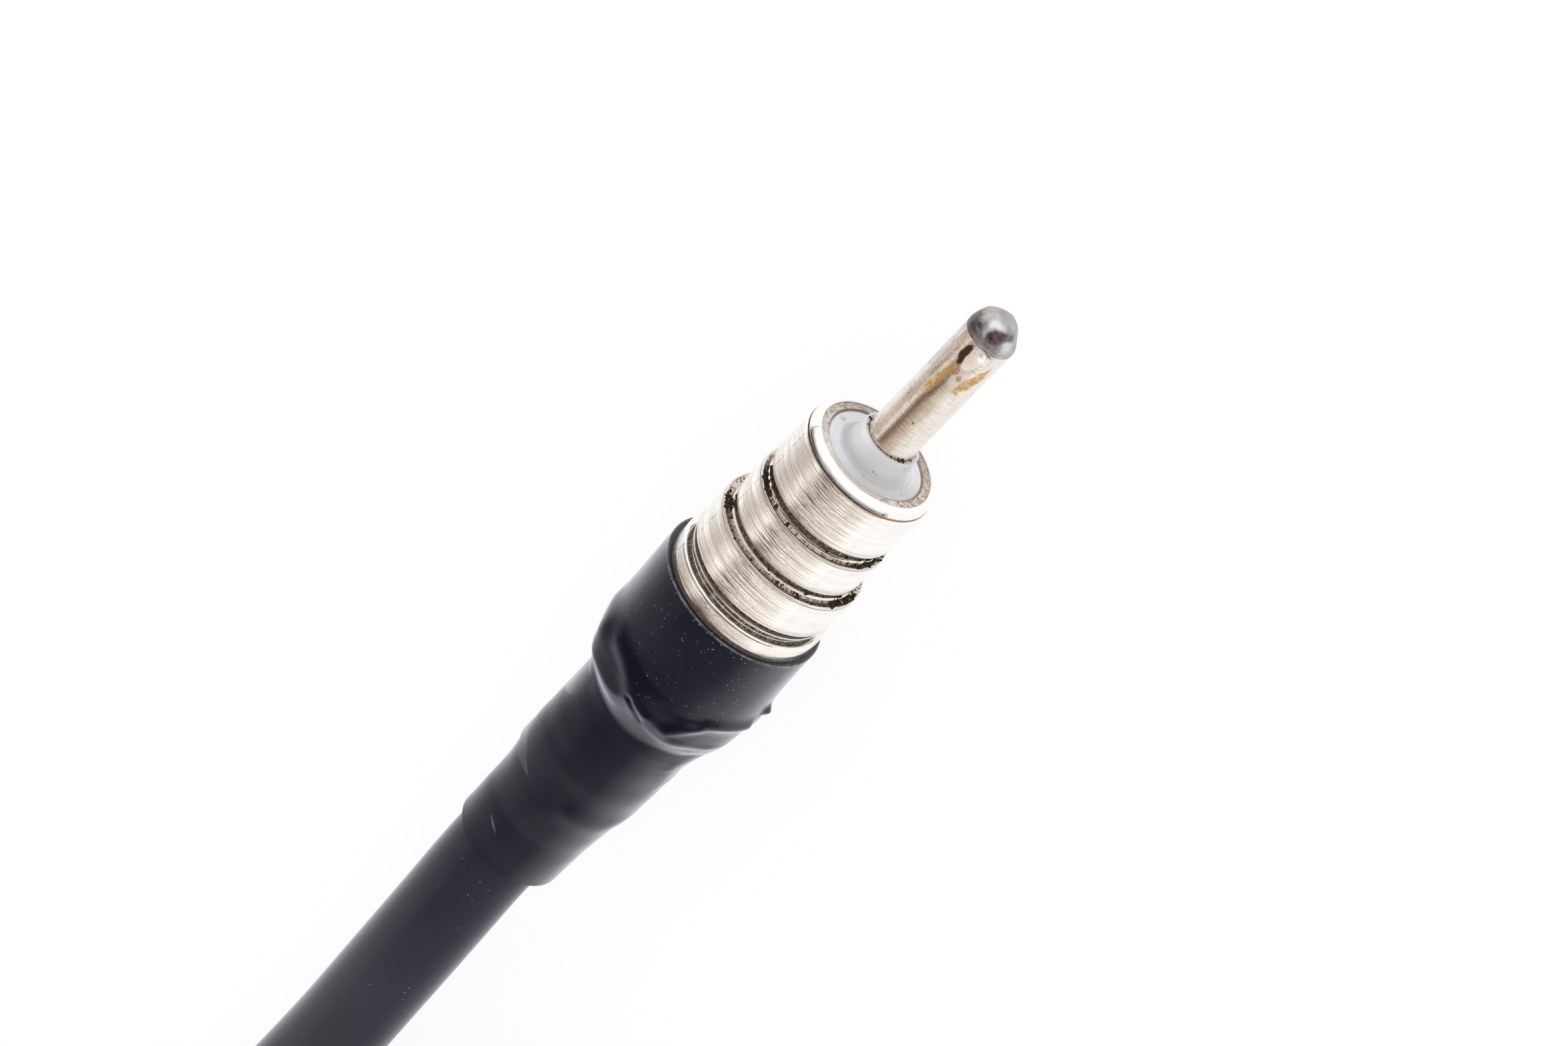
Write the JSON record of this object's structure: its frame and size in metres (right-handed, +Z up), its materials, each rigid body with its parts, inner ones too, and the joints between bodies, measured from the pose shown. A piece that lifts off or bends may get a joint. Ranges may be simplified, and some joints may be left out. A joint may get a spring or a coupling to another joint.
{
  "type": "coaxial aerial lead",
  "caption": "Coaxial aerial lead: stepped nickel-plated plug with a long centre pin, black cable with shrunk sleeves, tied coil and a matching in-line socket.",
  "frame": {"origin": "on the surface that the lead lies on, under the middle of the plug", "axes": "+X along the plug towards the tip of its pin, +Z up"},
  "size_m": [0.1321, 0.0901, 0.0163],
  "materials": {
    "pin_nickel": "nickel plate over brass, dulled and stained with flux",
    "solder": "dull grey solder with a purple-brown tarnish",
    "insulator_plastic": "milky light grey plastic",
    "barrel_nickel": "nickel plate over brass with fine lathe lines and dirt in the grooves",
    "hidden_nickel": "nickel plate over brass, clean",
    "jacket_rubber": "matt blue-black flexible plastic",
    "sleeve_rubber": "semi-matt blue-black heat-shrink tube",
    "dielectric_plastic": "milky white plastic",
    "copper": "bare copper",
    "contact_brass": "spring brass",
    "tie_plastic": "black nylon"
  },
  "bodies": {
    "root": {"centre_pin": "pin_nickel", "pin_solder": "solder", "plug_insulator": "insulator_plastic", "plug_barrel": "barrel_nickel", "rear_collar": "barrel_nickel", "crimp_ferrule": "hidden_nickel", "cable_jacket_end": "jacket_rubber", "cable_braid_end": "copper", "cable_dielectric_end": "dielectric_plastic", "core_wire": "copper", "shrink_sleeve": "sleeve_rubber", "lead_run": "jacket_rubber", "lead_coil": "jacket_rubber", "lead_tail": "jacket_rubber", "coil_ties": "tie_plastic", "socket_shell": "barrel_nickel", "socket_grip_ring": "contact_brass", "socket_insulator": "insulator_plastic", "socket_contact": "contact_brass", "socket_collar": "barrel_nickel", "socket_ferrule": "hidden_nickel", "socket_jacket_end": "jacket_rubber", "socket_braid_end": "copper", "socket_dielectric_end": "dielectric_plastic", "socket_core_wire": "copper", "socket_sleeve": "sleeve_rubber"}
  },
  "joints": []
}
